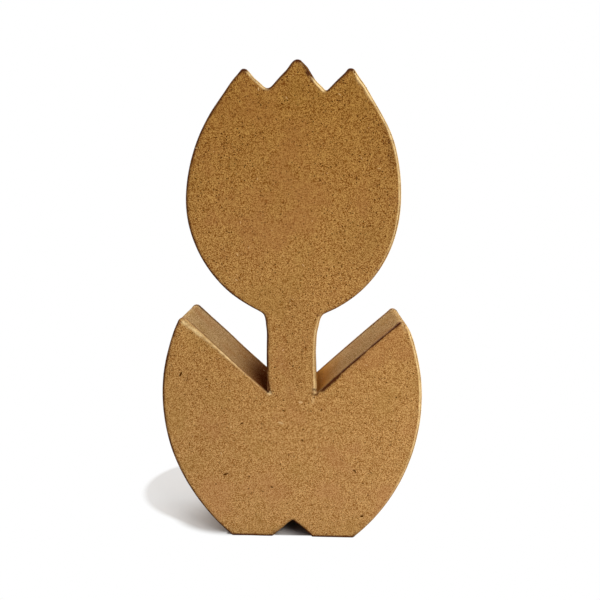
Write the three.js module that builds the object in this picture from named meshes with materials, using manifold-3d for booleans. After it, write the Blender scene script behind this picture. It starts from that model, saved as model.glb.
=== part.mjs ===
// Paper tulip: a hollow papier-mache tulip that stands on its own two feet.
// Two die-cut boards with the tulip's outline are held apart by card walls, bent or creased along
// the outline and glued to the boards by snipped tabs. Kraft paper covers it all: a sheet on each
// face, with its rim turned over the edge, and a strip over each wall between the two rims.
// Millimetres. +X is the viewer's right, the front faces -Y, +Z is up, and z = 0 is the table.

import * as THREE from 'three';
import { mergeVertices } from 'three/addons/utils/BufferGeometryUtils.js';
import Module from 'manifold-3d';

// Driving dimensions of the outline
const FOOT_HALF_WIDTH = 26;
const NOTCH_HALF_WIDTH = 9;
const NOTCH_HEIGHT = 8.2;
const LEAF_TIP_X = 46.7;
const LEAF_BELLY = 7.8; // how far the leaf bulges past its tip
const LEAF_WIDEST_HEIGHT = 62.4;
const LEAF_TIP_RISE = 33.7; // from the leaf's widest point up to its tip
const CROTCH_HEIGHT = 63;
const STEM_HALF_WIDTH = 10.2;
const STEM_LENGTH = 30.1; // straight stem between crotch and neck
const NECK_FILLET_RADIUS = 5.5;
const HEAD_HALF_WIDTH = 43.6;
const HEAD_CUP_RADIUS = 50; // the round underside of the flower
const SIDE_PETAL_TIP_X = 21.1;
const SIDE_PETAL_STRAIGHT_X = 9.5; // reach of the straight top of the petal's outer edge
const SIDE_PETAL_STRAIGHT_RISE = 12.5;
const SIDE_PETAL_RISE = 52.5; // heights above the flower's widest point
const PETAL_NOTCH_X = 11.7;
const PETAL_NOTCH_RISE = 43.1;
const CENTRE_PETAL_RISE = 56;

// Depth and sheet thicknesses
const TULIP_DEPTH = 40;
const KRAFT = 0.4;
const BOARD = 1.5;
const WALL_CARD = 1;
const RIM_LAP = 0.6; // the turned rim reaches this far past the board onto the wall

// Bends of the corners: at an outward corner the radius inside the wall card, round which the card
// and the kraft paper are bent, and at an inward corner the radius of the paper's crease
const PETAL_TIP_BEND = 0.3;
const LEAF_TIP_BEND = 0.6;
const FOOT_BEND = 1.6;
const NOTCH_FOOT_BEND = 0.6;
const PETAL_NOTCH_CREASE = 1.2;
const CROTCH_CREASE = 0.5;
const FEET_NOTCH_CREASE = 0.5;

// Glue tabs snipped into both edges of every wall
const TAB_DEPTH = 5;
const TAB_PITCH = 9;
const TAB_SNIP = 1.6; // width of the snip between two tabs, at the root
const TAB_TAPER = 1; // each side of a tab leans in by this much
const TAB_CORNER_GAP = 0.6;

const ARC_STEP = THREE.MathUtils.degToRad(6);
const BEND_STEP = THREE.MathUtils.degToRad(24);

const kraftPaper = new THREE.MeshStandardMaterial({ color: '#b58650', roughness: 0.9, metalness: 0 });
const greyboard = new THREE.MeshStandardMaterial({ color: '#9b958a', roughness: 0.95, metalness: 0 });
const wallCard = new THREE.MeshStandardMaterial({ color: '#a8927a', roughness: 0.95, metalness: 0 });

// Outline

// Points of an arc about a centre, both ends included
function arcPoints(centre, radius, fromAngle, toAngle, step = ARC_STEP) {
  const steps = Math.max(2, Math.ceil(Math.abs(toAngle - fromAngle) / step));
  const points = [];
  for (let i = 0; i <= steps; i++) {
    const angle = THREE.MathUtils.lerp(fromAngle, toAngle, i / steps);
    points.push(new THREE.Vector2(centre.x + radius * Math.cos(angle), centre.y + radius * Math.sin(angle)));
  }
  return points;
}

// The circle that is upright at the widest point and passes through another point
function uprightCircle(widest, through) {
  const across = widest.x - through.x;
  const rise = through.y - widest.y;
  const radius = (across * across + rise * rise) / (2 * across);
  const centre = new THREE.Vector2(widest.x - radius, widest.y);
  return { centre, radius, angle: Math.atan2(rise, through.x - centre.x) };
}

// Right half of the outline with sharp corners, from the notch between the feet up to the middle
// petal's tip. A point that is a corner carries its name and its bend.
function rightHalf() {
  const points = [];
  const add = (...more) => points.push(...more.map((point) => ({ point })));
  const corner = (name, bend) => Object.assign(points[points.length - 1], { name, bend });

  const foot = new THREE.Vector2(FOOT_HALF_WIDTH, 0);
  add(new THREE.Vector2(0, NOTCH_HEIGHT));
  corner('feetNotch', FEET_NOTCH_CREASE);
  add(new THREE.Vector2(NOTCH_HALF_WIDTH, 0));
  corner('notchFoot', NOTCH_FOOT_BEND);
  add(foot);
  corner('foot', FOOT_BEND);

  const belly = new THREE.Vector2(LEAF_TIP_X + LEAF_BELLY, LEAF_WIDEST_HEIGHT);
  const leafTip = new THREE.Vector2(LEAF_TIP_X, LEAF_WIDEST_HEIGHT + LEAF_TIP_RISE);
  const below = uprightCircle(belly, foot);
  const above = uprightCircle(belly, leafTip);
  add(...arcPoints(below.centre, below.radius, below.angle, 0).slice(1));
  add(...arcPoints(above.centre, above.radius, 0, above.angle).slice(1));
  corner('leafTip', LEAF_TIP_BEND);

  add(new THREE.Vector2(STEM_HALF_WIDTH, CROTCH_HEIGHT));
  corner('crotch', CROTCH_CREASE);

  const filletCentre = new THREE.Vector2(STEM_HALF_WIDTH + NECK_FILLET_RADIUS, CROTCH_HEIGHT + STEM_LENGTH);
  const cupX = HEAD_HALF_WIDTH - HEAD_CUP_RADIUS;
  const reach = HEAD_CUP_RADIUS + NECK_FILLET_RADIUS;
  const cupZ = filletCentre.y + Math.sqrt(reach ** 2 - (filletCentre.x - cupX) ** 2);
  const cupCentre = new THREE.Vector2(cupX, cupZ);
  const neckAngle = Math.atan2(filletCentre.y - cupZ, filletCentre.x - cupX);
  const fillet = arcPoints(filletCentre, NECK_FILLET_RADIUS, Math.PI, neckAngle + Math.PI);
  add(fillet[0]);
  corner('neck', 0);
  add(...fillet.slice(1));
  add(...arcPoints(cupCentre, HEAD_CUP_RADIUS, neckAngle, 0).slice(1));

  const widest = new THREE.Vector2(HEAD_HALF_WIDTH, cupZ);
  const petalTip = new THREE.Vector2(SIDE_PETAL_TIP_X, cupZ + SIDE_PETAL_RISE);
  const shoulder = new THREE.Vector2(
    petalTip.x + SIDE_PETAL_STRAIGHT_X,
    petalTip.y - SIDE_PETAL_STRAIGHT_RISE,
  );
  const side = uprightCircle(widest, shoulder);
  add(...arcPoints(side.centre, side.radius, 0, side.angle).slice(1), petalTip);
  corner('petalTip', PETAL_TIP_BEND);
  add(new THREE.Vector2(PETAL_NOTCH_X, cupZ + PETAL_NOTCH_RISE));
  corner('petalNotch', PETAL_NOTCH_CREASE);
  add(new THREE.Vector2(0, cupZ + CENTRE_PETAL_RISE));
  corner('crown', PETAL_TIP_BEND);
  return points;
}

// The whole outline, anticlockwise seen from the front, with its corners bent round. Each corner is
// kept with where its bend starts and ends, how far the outline turns there, and the bend itself.
function bentOutline() {
  const right = rightHalf().map((entry) => ({ ...entry, side: 'right' }));
  const left = right
    .slice(1, -1)
    .reverse()
    .map((entry) => ({ ...entry, side: 'left', point: new THREE.Vector2(-entry.point.x, entry.point.y) }));
  const sharp = [...right, ...left];
  const points = [];
  const corners = { right: {}, left: {} };
  sharp.forEach(({ point, name, bend, side }, i) => {
    const into = point.clone().sub(sharp[(i + sharp.length - 1) % sharp.length].point).normalize();
    const out = sharp[(i + 1) % sharp.length].point.clone().sub(point).normalize();
    const turn = Math.atan2(into.cross(out), into.dot(out));
    const start = points.length;
    if (bend > 0) {
      const radius = turn > 0 ? bend + WALL_CARD + KRAFT : bend;
      const tangent = point.clone().addScaledVector(into, -radius * Math.tan(Math.abs(turn) / 2));
      const toCentre = new THREE.Vector2(-into.y, into.x).multiplyScalar(Math.sign(turn));
      const centre = tangent.clone().addScaledVector(toCentre, radius);
      const angle = Math.atan2(-toCentre.y, -toCentre.x);
      points.push(...arcPoints(centre, radius, angle, angle + turn, BEND_STEP));
    } else {
      points.push(point);
    }
    if (name) {
      corners[side][name] = { start, end: points.length - 1, turn, bend };
    }
  });
  return { points, corners };
}

const { points: outline, corners } = bentOutline();
const count = outline.length;

// The outline moved inwards by a distance, each corner along its mitre, so that every layer's
// corners lie on the same lines and neighbouring layers share their faces.
function inset(distance) {
  return outline.map((point, i) => {
    const before = point.clone().sub(outline[(i + count - 1) % count]).normalize();
    const after = outline[(i + 1) % count].clone().sub(point).normalize();
    const normalBefore = new THREE.Vector2(-before.y, before.x);
    const normalAfter = new THREE.Vector2(-after.y, after.x);
    const mitre = normalBefore.clone().add(normalAfter);
    mitre.multiplyScalar(distance / (1 + normalBefore.dot(normalAfter)));
    return point.clone().add(mitre);
  });
}

const OUTER = inset(0);
const UNDER_KRAFT = inset(KRAFT);
const MID_WALL = inset(KRAFT + WALL_CARD / 2);
const INSIDE_WALL = inset(KRAFT + WALL_CARD);

// The points of a layer from one index on to another, anticlockwise round the outline
function stretch(row, from, to) {
  const last = to < from ? to + count : to;
  const points = [];
  for (let i = from; i <= last; i++) {
    points.push(row[i % count]);
  }
  return points;
}

// Solids

// A flat outline in X and Z, thickened along Y
function prism(points, yFront, yBack) {
  const shape = new THREE.Shape(points);
  const geometry = new THREE.ExtrudeGeometry(shape, { depth: 1, steps: 1, bevelEnabled: false });
  const position = geometry.attributes.position;
  for (let i = 0; i < position.count; i++) {
    const y = position.getZ(i) > 0 ? yFront : yBack;
    position.setXYZ(i, position.getX(i), y, position.getY(i));
  }
  geometry.computeVertexNormals();
  return geometry;
}

const wasm = await Module();
wasm.setup();

function toSolid(geometry) {
  const bare = geometry.clone();
  bare.deleteAttribute('normal');
  bare.deleteAttribute('uv');
  const merged = mergeVertices(bare);
  const vertProperties = merged.attributes.position.array;
  const triVerts = merged.index.array;
  return new wasm.Manifold(new wasm.Mesh({ numProp: 3, vertProperties, triVerts }));
}

function toGeometry(solid) {
  const mesh = solid.getMesh();
  const geometry = new THREE.BufferGeometry();
  geometry.setAttribute('position', new THREE.BufferAttribute(mesh.vertProperties, 3));
  geometry.setIndex(new THREE.BufferAttribute(mesh.triVerts, 1));
  geometry.computeVertexNormals();
  return geometry;
}

// A band of paper or card that follows the outline between two layers and two corners
function band(outerLayer, innerLayer, from, to, yFront, yBack) {
  const points = [...stretch(outerLayer, from, to), ...stretch(innerLayer, from, to).reverse()];
  return prism(points, yFront, yBack);
}

// Where a length along a row of points falls: on which span, how far along it and which way it runs
function stationAt(points, length) {
  let span = 0;
  let left = length;
  while (span < points.length - 2 && left > points[span].distanceTo(points[span + 1])) {
    left -= points[span].distanceTo(points[span + 1]);
    span += 1;
  }
  const along = points[span + 1].clone().sub(points[span]);
  const fraction = left / along.length();
  along.normalize();
  const place = points[span].clone().addScaledVector(along, left);
  return { span, fraction, along, inward: new THREE.Vector2(-along.y, along.x), place };
}

// The points of a row between two stations on it
function between(points, first, last) {
  const on = (station) => points[station.span].clone().lerp(points[station.span + 1], station.fraction);
  return [on(first), ...points.slice(first.span + 1, last.span + 1), on(last)];
}

// How far the nearest tab stays from a corner's bend, so that the tabs of its two sides don't meet
function cornerInset(corner) {
  const crowding = Math.max(0, (TAB_DEPTH - corner.bend) * Math.tan(corner.turn / 2));
  return crowding + TAB_CORNER_GAP;
}

// Tabs along a wall between two of its corners, each a tapered tooth rooted halfway into the card
function tabsBetween(from, to, yFront, yBack) {
  const points = stretch(INSIDE_WALL, from.end, to.start);
  const root = stretch(MID_WALL, from.end, to.start);
  const length = points.slice(1).reduce((sum, point, i) => sum + point.distanceTo(points[i]), 0);
  const start = cornerInset(from);
  const room = length - start - cornerInset(to);
  const tabs = Math.max(1, Math.round(room / TAB_PITCH));
  const pitch = (room + TAB_SNIP) / tabs;
  const solids = [];
  for (let i = 0; i < tabs; i++) {
    const first = stationAt(points, start + i * pitch);
    const last = stationAt(points, start + (i + 1) * pitch - TAB_SNIP);
    const corners = [
      ...between(root, first, last),
      last.place.clone().addScaledVector(last.inward, TAB_DEPTH).addScaledVector(last.along, -TAB_TAPER),
      first.place.clone().addScaledVector(first.inward, TAB_DEPTH).addScaledVector(first.along, TAB_TAPER),
    ];
    solids.push(toSolid(prism(corners, yFront, yBack)));
  }
  return solids;
}

// Distances of each layer's end from the middle of the tulip's depth
const FACE = TULIP_DEPTH / 2;
const BOARD_FACE = FACE - KRAFT;
const WALL_END = BOARD_FACE - BOARD;
const RIM_END = WALL_END - RIM_LAP;

// Where a wall and its strip begin and end on the outline. One that wraps its ends takes in the
// bends of its first and last corner, and the others stop where those bends begin.
function wallSpan({ turns, wrapsEnds }) {
  const first = turns[0];
  const last = turns[turns.length - 1];
  return wrapsEnds ? [first.start, last.end] : [first.end, last.start];
}

// A wall stands between the two boards, and both its edges carry tabs between its corners
function wall(run) {
  let solid = toSolid(band(UNDER_KRAFT, INSIDE_WALL, ...wallSpan(run), -WALL_END, WALL_END));
  for (let i = 1; i < run.turns.length; i++) {
    const [from, to] = [run.turns[i - 1], run.turns[i]];
    const front = tabsBetween(from, to, -WALL_END, -WALL_END + WALL_CARD);
    const back = tabsBetween(from, to, WALL_END - WALL_CARD, WALL_END);
    for (const tab of [...front, ...back]) {
      solid = solid.add(tab);
    }
  }
  return toGeometry(solid);
}

// A strip of kraft paper on a wall, butted between the rims of the two covers
function strip(run) {
  return band(OUTER, UNDER_KRAFT, ...wallSpan(run), -RIM_END, RIM_END);
}

// A flat layer on the front (side -1) or the back (side 1), between two distances from the middle
function layer(points, side, near, far) {
  return side < 0 ? prism(points, -far, -near) : prism(points, near, far);
}

function board(side) {
  return layer(UNDER_KRAFT, side, WALL_END, BOARD_FACE);
}

// A sheet on the board, with its rim turned over the board's edge and onto the wall
function cover(side) {
  const whole = toSolid(layer(OUTER, side, RIM_END, FACE));
  const hollow = toSolid(layer(UNDER_KRAFT, side, RIM_END - KRAFT, BOARD_FACE));
  return toGeometry(whole.subtract(hollow));
}

// The walls in turn round the outline, each with the corners that it runs between or is bent at
const { right, left } = corners;
const RUNS = {
  base: { turns: [left.foot, left.notchFoot, right.feetNotch, right.notchFoot, right.foot], wrapsEnds: true },
  right_leaf: { turns: [right.foot, right.leafTip], wrapsEnds: false },
  right_nook: { turns: [right.leafTip, right.crotch, right.neck], wrapsEnds: true },
  right_head: { turns: [right.neck, right.petalTip], wrapsEnds: false },
  crown: {
    turns: [right.petalTip, right.petalNotch, right.crown, left.petalNotch, left.petalTip],
    wrapsEnds: true,
  },
  left_head: { turns: [left.petalTip, left.neck], wrapsEnds: false },
  left_nook: { turns: [left.neck, left.crotch, left.leafTip], wrapsEnds: true },
  left_leaf: { turns: [left.leafTip, left.foot], wrapsEnds: false },
};

function piece(name, geometry, material) {
  const mesh = new THREE.Mesh(geometry, material);
  mesh.name = name;
  return mesh;
}

// Assembly

const boards = new THREE.Group();
boards.add(piece('front_board', board(-1), greyboard));
boards.add(piece('back_board', board(1), greyboard));

const walls = new THREE.Group();
const strips = new THREE.Group();
for (const [name, run] of Object.entries(RUNS)) {
  walls.add(piece(`${name}_wall`, wall(run), wallCard));
  strips.add(piece(`${name}_strip`, strip(run), kraftPaper));
}

const covers = new THREE.Group();
covers.add(piece('front_cover', cover(-1), kraftPaper));
covers.add(piece('back_cover', cover(1), kraftPaper));

const group = new THREE.Group();
group.add(boards, walls, strips, covers);

export default group;
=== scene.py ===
"""Looks of the paper tulip: kraft paper pasted over a hollow card form that stands on two feet.

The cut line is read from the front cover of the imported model, and every sheet follows it: a cover
on each face with its rim turned over the edge, and strips on the walls that slip under the rims.
Sizes are in millimetres until a mesh is made, and a mesh is in metres. The front faces -Y.
"""

import logging
import math
from collections.abc import Mapping, Sequence
from dataclasses import dataclass, field, replace
from enum import Enum
from typing import Any, Union

import bmesh
import bpy
import numpy as np
from mathutils import Matrix, Vector, noise
from mathutils.geometry import delaunay_2d_cdt


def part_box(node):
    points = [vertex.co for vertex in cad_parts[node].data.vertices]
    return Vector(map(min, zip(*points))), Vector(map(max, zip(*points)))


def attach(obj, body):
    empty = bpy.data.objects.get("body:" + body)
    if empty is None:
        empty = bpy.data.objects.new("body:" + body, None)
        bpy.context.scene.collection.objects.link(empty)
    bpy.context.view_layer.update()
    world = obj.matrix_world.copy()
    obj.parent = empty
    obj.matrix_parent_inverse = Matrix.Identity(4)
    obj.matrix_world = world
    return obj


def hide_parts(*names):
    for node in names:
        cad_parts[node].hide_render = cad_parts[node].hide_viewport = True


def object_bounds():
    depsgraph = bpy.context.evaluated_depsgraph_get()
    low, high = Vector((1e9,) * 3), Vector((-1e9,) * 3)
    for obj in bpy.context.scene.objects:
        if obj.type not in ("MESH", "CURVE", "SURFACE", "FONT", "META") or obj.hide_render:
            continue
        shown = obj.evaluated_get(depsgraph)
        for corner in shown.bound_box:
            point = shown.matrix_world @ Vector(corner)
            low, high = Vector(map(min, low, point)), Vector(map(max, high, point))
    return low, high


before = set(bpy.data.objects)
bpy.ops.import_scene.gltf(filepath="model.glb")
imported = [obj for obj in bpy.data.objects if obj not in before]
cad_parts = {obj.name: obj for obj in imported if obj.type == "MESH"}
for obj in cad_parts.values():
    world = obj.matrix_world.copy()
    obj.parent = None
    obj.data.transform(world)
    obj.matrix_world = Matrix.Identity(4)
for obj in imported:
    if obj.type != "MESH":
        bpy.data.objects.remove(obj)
cad_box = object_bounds()

log = logging.getLogger("paper_tulip")

MM = 0.001
BODY = "root"
HALF_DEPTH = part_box("back_cover")[1].y / MM
RIM_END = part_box("front_cover")[1].y / MM + HALF_DEPTH
SHEET = 0.4
SHARP_FROM = math.radians(50)

Colour = tuple[float, float, float]
Place = tuple[float, float, float]
Flat = tuple[float, float]
Range = tuple[float, float]
Wave = tuple[float, float, float]
Operand = Union["Signal", float, Place]


class Side(Enum):
    """The face that a cover lies on, as the sign of its Y."""

    FRONT = -1
    BACK = 1


# Node trees


class Signal:
    """A socket's value. Arithmetic on it adds the node that works out the result."""

    def __init__(self, nodes: "Nodes", socket: bpy.types.NodeSocket) -> None:
        """Keeps the tree that the value belongs to, and its socket."""
        self.nodes = nodes
        self.socket = socket

    @staticmethod
    def _is_vector(value: Operand) -> bool:
        """Whether a value is a vector."""
        return isinstance(value, tuple) or isinstance(value, Signal) and value.socket.type == "VECTOR"

    def _with(self, operation: str, other: Operand, swapped: bool = False) -> "Signal":
        """Adds a Math node, or a Vector Math node where either value is a vector.

        Args:
            operation: the node's operation.
            other: a number, a vector or another signal.
            swapped: whether the other value comes first.

        Returns:
            The result.
        """
        pair = (other, self) if swapped else (self, other)
        kind = "ShaderNodeMath"
        if any(self._is_vector(value) for value in pair):
            kind = "ShaderNodeVectorMath"
            pair = tuple((x, x, x) if isinstance(x, (int, float)) else x for x in pair)
        return self.nodes.add(kind, {"operation": operation}, dict(enumerate(pair)))

    def __add__(self, other: Operand) -> "Signal":
        """The sum."""
        return self._with("ADD", other)

    __radd__ = __add__

    def __sub__(self, other: Operand) -> "Signal":
        """The difference."""
        return self._with("SUBTRACT", other)

    def __rsub__(self, other: Operand) -> "Signal":
        """The difference from a number."""
        return self._with("SUBTRACT", other, swapped=True)

    def __mul__(self, other: Operand) -> "Signal":
        """The product."""
        return self._with("MULTIPLY", other)

    __rmul__ = __mul__

    def __truediv__(self, other: Operand) -> "Signal":
        """The quotient."""
        return self._with("DIVIDE", other)

    def __pow__(self, other: Operand) -> "Signal":
        """The power."""
        return self._with("POWER", other)

    def __gt__(self, other: Operand) -> "Signal":
        """1 where this is the greater, and 0 elsewhere."""
        return self._with("GREATER_THAN", other)

    def __or__(self, other: Operand) -> "Signal":
        """The larger of the two."""
        return self._with("MAXIMUM", other)

    def between(self, low: float, high: float, start: float = 0.0, end: float = 1.0) -> "Signal":
        """Eases from one number to another as the value rises or falls between two bounds.

        Args:
            low: the bound where the result is start, also past it.
            high: the bound where the result is end, also past it.
            start: the first number.
            end: the last number.

        Returns:
            The eased number.
        """
        settings = {"interpolation_type": "SMOOTHSTEP"}
        values = {0: self, 1: low, 2: high, 3: start, 4: end}
        return self.nodes.add("ShaderNodeMapRange", settings, values)

    def rising(self, start: float, end: float) -> "Signal":
        """Goes evenly from start to end as the value goes from 0 to 1."""
        return self * (end - start) + start


class Nodes:
    """A node tree under construction."""

    def __init__(self, tree: bpy.types.NodeTree) -> None:
        """Keeps the tree."""
        self.tree = tree

    def make(
        self,
        kind: str,
        settings: Mapping[str, Any] | None = None,
        values: Mapping[Any, Any] | None = None,
    ) -> bpy.types.Node:
        """Adds a node.

        Args:
            kind: the node's type.
            settings: its properties, which are set first.
            values: numbers, vectors or signals for its inputs, by name or number.

        Returns:
            The node.
        """
        node = self.tree.nodes.new(kind)
        for name, value in (settings or {}).items():
            setattr(node, name, value)
        for key, value in (values or {}).items():
            if isinstance(value, Signal):
                self.tree.links.new(value.socket, node.inputs[key])
            else:
                node.inputs[key].default_value = value
        return node

    def add(
        self,
        kind: str,
        settings: Mapping[str, Any] | None = None,
        values: Mapping[Any, Any] | None = None,
        out: int | str = 0,
    ) -> Signal:
        """Adds a node as make() does, and returns the output of the name or number in out."""
        return Signal(self, self.make(kind, settings, values).outputs[out])

    def split(self, value: Signal, kind: str = "XYZ") -> list[Signal]:
        """The three parts of a vector, or of a colour where the kind is Color."""
        node = self.make(f"ShaderNodeSeparate{kind}", None, {0: value})
        return [Signal(self, output) for output in node.outputs]


class Paint(Nodes):
    """A material's tree, which reads places in millimetres."""

    def __init__(self, name: str) -> None:
        """Starts a material with an empty tree."""
        self.material = bpy.data.materials.new(name)
        self.material.use_nodes = True
        self.material.node_tree.nodes.clear()
        super().__init__(self.material.node_tree)
        self.place = self.add("ShaderNodeTexCoord", out="Object") * (1 / MM)

    def noise(
        self, size: float, detail: float = 2.0, rough: float = 0.5, at: Signal | None = None
    ) -> Signal:
        """Noise about 0.5 whose grains are about size millimetres across."""
        values = {"Vector": at or self.place, "Scale": 1 / size, "Detail": detail, "Roughness": rough}
        return self.add("ShaderNodeTexNoise", {"noise_dimensions": "3D"}, values)

    def cells(self, size: float, at: Signal) -> tuple[Signal, list[Signal]]:
        """Scattered cells about size millimetres across.

        Args:
            size: the size of a cell.
            at: the places to read.

        Returns:
            The distance from a cell's middle in cells, and three random numbers for each cell.
        """
        values = {"Vector": at, "Scale": 1 / size}
        node = self.make("ShaderNodeTexVoronoi", {"feature": "F1"}, values)
        away, colour = (Signal(self, node.outputs[name]) for name in ("Distance", "Color"))
        return away, self.split(colour, "Color")

    def attribute(self, name: str) -> Signal:
        """A number that the sheet's vertices store."""
        return self.add("ShaderNodeAttribute", {"attribute_name": name}, out="Fac")

    def bump(self, height: Signal, strength: float) -> Signal:
        """The normal of a relief whose height is in millimetres."""
        values = {"Strength": strength, "Distance": MM, "Height": height}
        return self.add("ShaderNodeBump", None, values)

    def mix(self, factor: Operand, below: Operand, above: Operand, blend: str = "MIX") -> Signal:
        """Lays one colour over another.

        Args:
            factor: how much of the upper colour shows, from 0 to 1.
            below: the lower colour.
            above: the upper colour.
            blend: how the two mix.

        Returns:
            The mixed colour.
        """
        settings = {"data_type": "RGBA", "blend_type": blend}
        colours = [x if isinstance(x, Signal) else (*x, 1.0) for x in (below, above)]
        return self.add("ShaderNodeMix", settings, {0: factor, 6: colours[0], 7: colours[1]}, out=2)

    def surface(
        self, colour: Signal, roughness: Operand, normal: Signal, **constants: float
    ) -> bpy.types.Material:
        """Ends the tree in one Principled surface.

        Args:
            colour: the base colour.
            roughness: a number or a signal.
            normal: the bumped normal.
            constants: the surface's other inputs, with _ for a space.

        Returns:
            The material.
        """
        values = {"Base Color": colour, "Roughness": roughness, "Normal": normal}
        values.update({name.replace("_", " "): value for name, value in constants.items()})
        shader = self.add("ShaderNodeBsdfPrincipled", None, values)
        self.make("ShaderNodeOutputMaterial", None, {"Surface": shader})
        return self.material


class Shaper(Nodes):
    """A Geometry Nodes tree that turns a carrier mesh into a piece's mesh."""

    def __init__(self, name: str) -> None:
        """Starts a tree that takes a geometry and gives one."""
        super().__init__(bpy.data.node_groups.new(name, "GeometryNodeTree"))
        for way in ("INPUT", "OUTPUT"):
            self.tree.interface.new_socket("Geometry", in_out=way, socket_type="NodeSocketGeometry")
        self.group = self.make("NodeGroupInput")

    @property
    def carrier(self) -> Signal:
        """The carrier mesh."""
        return Signal(self, self.group.outputs[0])

    def input(self, name: str, kind: str = "Float") -> Signal:
        """Adds a named input of a kind, such as Float, Int or Material."""
        self.tree.interface.new_socket(name, in_out="INPUT", socket_type=f"NodeSocket{kind}")
        return Signal(self, self.group.outputs[name])

    def stored(self, name: str, kind: str = "FLOAT_VECTOR") -> Signal:
        """What the carrier's points store under a name."""
        return self.add("GeometryNodeInputNamedAttribute", {"data_type": kind}, {"Name": name})

    def finish(self, geometry: Signal, material: Signal) -> None:
        """Realizes the instances, sets the material and ends the tree."""
        real = self.add("GeometryNodeRealizeInstances", None, {0: geometry})
        dressed = self.add("GeometryNodeSetMaterial", None, {"Geometry": real, "Material": material})
        self.make("NodeGroupOutput", None, {0: dressed})

    def run(self, carrier: bpy.types.Mesh, values: Mapping[str, Any]) -> bpy.types.Mesh:
        """Runs the tree on a carrier mesh.

        Args:
            carrier: the mesh that the tree starts from.
            values: its inputs by name.

        Returns:
            A plain mesh.
        """
        holder = bpy.data.objects.new("carrier", carrier)
        bpy.context.scene.collection.objects.link(holder)
        modifier = holder.modifiers.new("shape", "NODES")
        modifier.node_group = self.tree
        for item in self.tree.interface.items_tree:
            if item.in_out == "INPUT" and item.name in values:
                modifier[item.identifier] = values[item.name]
        depsgraph = bpy.context.evaluated_depsgraph_get()
        depsgraph.update()
        shaped = holder.evaluated_get(depsgraph)
        mesh = bpy.data.meshes.new_from_object(shaped, depsgraph=depsgraph)
        holder.modifiers.clear()
        bpy.data.objects.remove(holder)
        return mesh


# Meshes


def mesh_from(
    name: str, points: np.ndarray, faces: Sequence[Sequence[int]], edges: Sequence = ()
) -> bpy.types.Mesh:
    """A mesh in metres from points in millimetres."""
    mesh = bpy.data.meshes.new(name)
    mesh.from_pydata((points * MM).tolist(), edges, faces)
    return mesh


def places_of(mesh: bpy.types.Mesh) -> np.ndarray:
    """Reads a mesh's vertices.

    Args:
        mesh: the mesh.

    Returns:
        Where they are, in millimetres.
    """
    at = np.empty(3 * len(mesh.vertices))
    mesh.vertices.foreach_get("co", at)
    return at.reshape(-1, 3) / MM


def corners_of(mesh: bpy.types.Mesh) -> np.ndarray:
    """Cuts a mesh's faces into triangles.

    Args:
        mesh: the mesh, which stays as it is.

    Returns:
        The numbers of the three corners of each triangle.
    """
    mesh.calc_loop_triangles()
    corners = np.empty(3 * len(mesh.loop_triangles), np.int32)
    mesh.loop_triangles.foreach_get("vertices", corners)
    return corners.reshape(-1, 3)


def set_attribute(mesh: bpy.types.Mesh, name: str, values: np.ndarray) -> None:
    """Stores a number or a vector on every vertex.

    Args:
        mesh: the mesh.
        name: the attribute's name.
        values: a number or a vector for each vertex.
    """
    vector = values.ndim == 2
    attribute = mesh.attributes.new(name, "FLOAT_VECTOR" if vector else "FLOAT", "POINT")
    flat_values = values.astype(np.float32).ravel()
    attribute.data.foreach_set("vector" if vector else "value", flat_values)


def outward(mesh: bpy.types.Mesh) -> None:
    """Turns a closed mesh's faces outwards if its volume is negative."""
    a, b, c = places_of(mesh)[corners_of(mesh).T]
    if np.einsum("ij,ij->i", a, np.cross(b, c)).sum() < 0:
        mesh.flip_normals()


def place_piece(
    name: str, mesh: bpy.types.Mesh, replaces: Sequence[str] = ()
) -> bpy.types.Object:
    """Makes a finished mesh a piece of the object and reports it.

    Args:
        name: the piece's name.
        mesh: its mesh, in place and with its material.
        replaces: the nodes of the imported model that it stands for.

    Returns:
        The piece.
    """
    mesh.name = name
    mesh.shade_smooth()
    mesh.set_sharp_from_angle(angle=SHARP_FROM)
    piece = bpy.data.objects.new(name, mesh)
    bpy.context.scene.collection.objects.link(piece)
    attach(piece, BODY)
    if replaces:
        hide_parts(*replaces)
    triangles = sum(len(p.vertices) - 2 for p in mesh.polygons)
    log.info("%s: %d triangles", name, triangles)
    return piece


# What the hand leaves


def fading(gap: np.ndarray, reach: float) -> np.ndarray:
    """1 at no distance, and less and less over a reach."""
    return np.exp(-((gap / reach) ** 2))


def gap_to(flat: np.ndarray, start: np.ndarray, end: np.ndarray) -> np.ndarray:
    """Measures how far places in X and Z lie from a straight line between two others.

    Args:
        flat: the places.
        start: where the line starts.
        end: where it ends.

    Returns:
        The distance of each place.
    """
    side = end - start
    away = flat - start
    share = np.clip(away @ side / (side @ side), 0, 1)
    return np.hypot(*(away - share[:, None] * side).T)


@dataclass(frozen=True)
class Ripple:
    """A smooth unevenness: the length and height of its waves, and where its pattern starts."""

    length: float
    height: float
    seed: float = 0.0

    def at(self, places: np.ndarray, seed: float = 0.0) -> np.ndarray:
        """How high it is at places in space.

        Args:
            places: the places, in millimetres.
            seed: moves the pattern on, so that two sheets differ.

        Returns:
            A number for each place, from about -height to height.
        """
        start = seed + self.seed
        shift = Vector((start, 1.7 * start, -start))
        return self.height * np.array([noise.noise(Vector(p) / self.length + shift) for p in places])


@dataclass(frozen=True)
class Pull:
    """A place where the form was pressed or pulled out of true while it was pasted."""

    at: Flat
    by: Flat
    reach: float

    def moved(self, flat: np.ndarray) -> np.ndarray:
        """How far it moves places in X and Z."""
        gap = np.linalg.norm(flat - self.at, axis=1, keepdims=True)
        return np.array(self.by) * fading(gap, self.reach)


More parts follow.
